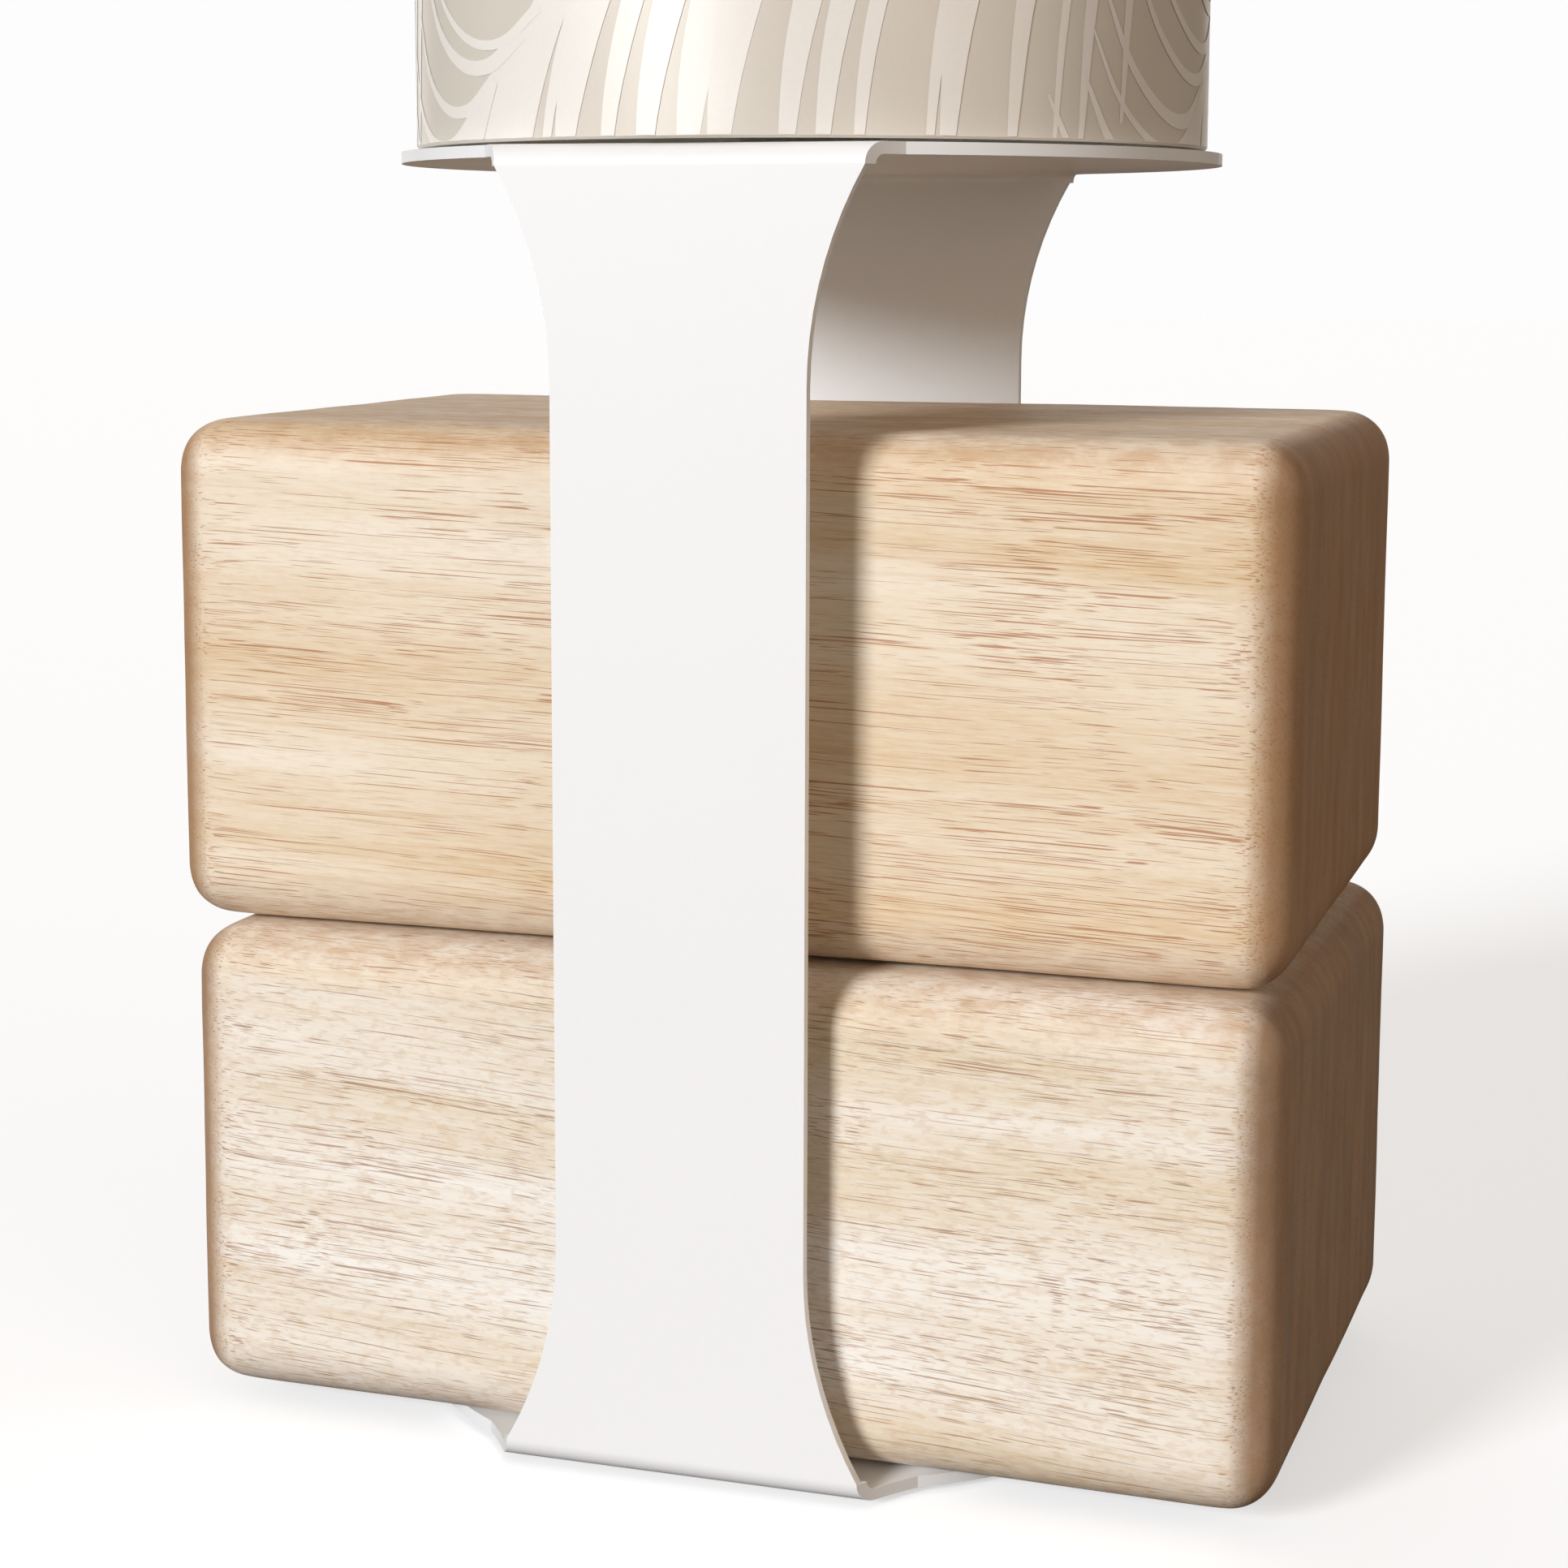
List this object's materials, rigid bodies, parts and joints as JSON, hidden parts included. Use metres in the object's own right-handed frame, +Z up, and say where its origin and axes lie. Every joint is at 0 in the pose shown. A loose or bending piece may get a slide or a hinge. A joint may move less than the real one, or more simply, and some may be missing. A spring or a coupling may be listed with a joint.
{
  "type": "table lamp",
  "caption": "Table lamp: a folded sheet steel strap frame holding two stacked wooden blocks, with a drum shade, lampholder and bulb on its round top plate.",
  "frame": {"origin": "middle of the underside of the base felt, which stands on the table", "axes": "+Z up; -Y to the front leg of the strap; +X to the right along the wooden blocks, seen from the front"},
  "size_m": [0.2527, 0.178, 0.4813],
  "materials": {
    "powder_coat": "satin white powder coat",
    "upper_wood": "oiled, sanded",
    "lower_wood": "oiled, sanded",
    "felt": "matt",
    "shade_paper": "printed, gloss laminated",
    "shade_liner": "smooth",
    "ring_wire": "white epoxy",
    "holder_plastic": "moulded white",
    "porcelain": "fired, unglazed",
    "zinc_steel": "zinc plated",
    "brass": "bright",
    "shell_metal": "nickelled brass",
    "black_plastic": "moulded",
    "bulb_plastic": "moulded white",
    "opal": "opal, translucent",
    "bulb_cap_metal": "rolled",
    "bulb_glass": "black glass",
    "circuit_board": "white solder mask",
    "led_phosphor": "yellow phosphor"
  },
  "bodies": {
    "root": {"strap_frame": "powder_coat", "base_felt": "felt", "holder_cap": "holder_plastic", "holder_barrel": "holder_plastic", "contact_carrier": "porcelain", "screw_shell": "shell_metal", "centre_contact": "brass", "terminal_blocks": "brass", "terminal_screws": "zinc_steel", "threaded_nipple": "zinc_steel", "lower_washer": "zinc_steel", "lower_locknut": "zinc_steel", "upper_locknut": "zinc_steel", "earth_tag": "zinc_steel", "cord_bush": "black_plastic"},
    "lower_block": {"lower_block": "lower_wood"},
    "upper_block": {"upper_block": "upper_wood"},
    "shade": {"shade_cover": "shade_paper", "shade_liner": "shade_liner", "shade_top_ring": "ring_wire", "shade_spider": "ring_wire"},
    "ring_nut": {"shade_ring_nut": "holder_plastic"},
    "bulb": {"bulb_cap": "bulb_cap_metal", "bulb_contact": "zinc_steel", "bulb_insulator": "bulb_glass", "bulb_body": "bulb_plastic", "bulb_globe": "opal", "led_board": "circuit_board", "led_chips": "led_phosphor", "driver_board": "circuit_board"}
  },
  "joints": [
    {"name": "lower_block_slide", "type": "slide", "parent": "root", "child": "lower_block", "axis": [1, 0, 0], "range_m": [-0.24, 0.24]},
    {"name": "upper_block_slide", "type": "slide", "parent": "lower_block", "child": "upper_block", "axis": [1, 0, 0], "range_m": [-0.12, 0.12]},
    {"name": "shade_lift", "type": "slide", "parent": "root", "child": "shade", "axis": [0, 0, 1], "range_m": [0, 0.15]},
    {"name": "ring_nut_turn", "type": "hinge", "parent": "shade", "child": "ring_nut", "pos_m": [0, 0, 0.3125], "axis": [0, 0, 1], "continuous": true},
    {"name": "bulb_lift", "type": "slide", "parent": "root", "child": "bulb", "axis": [0, 0, 1], "range_m": [0, 0.18]}
  ]
}
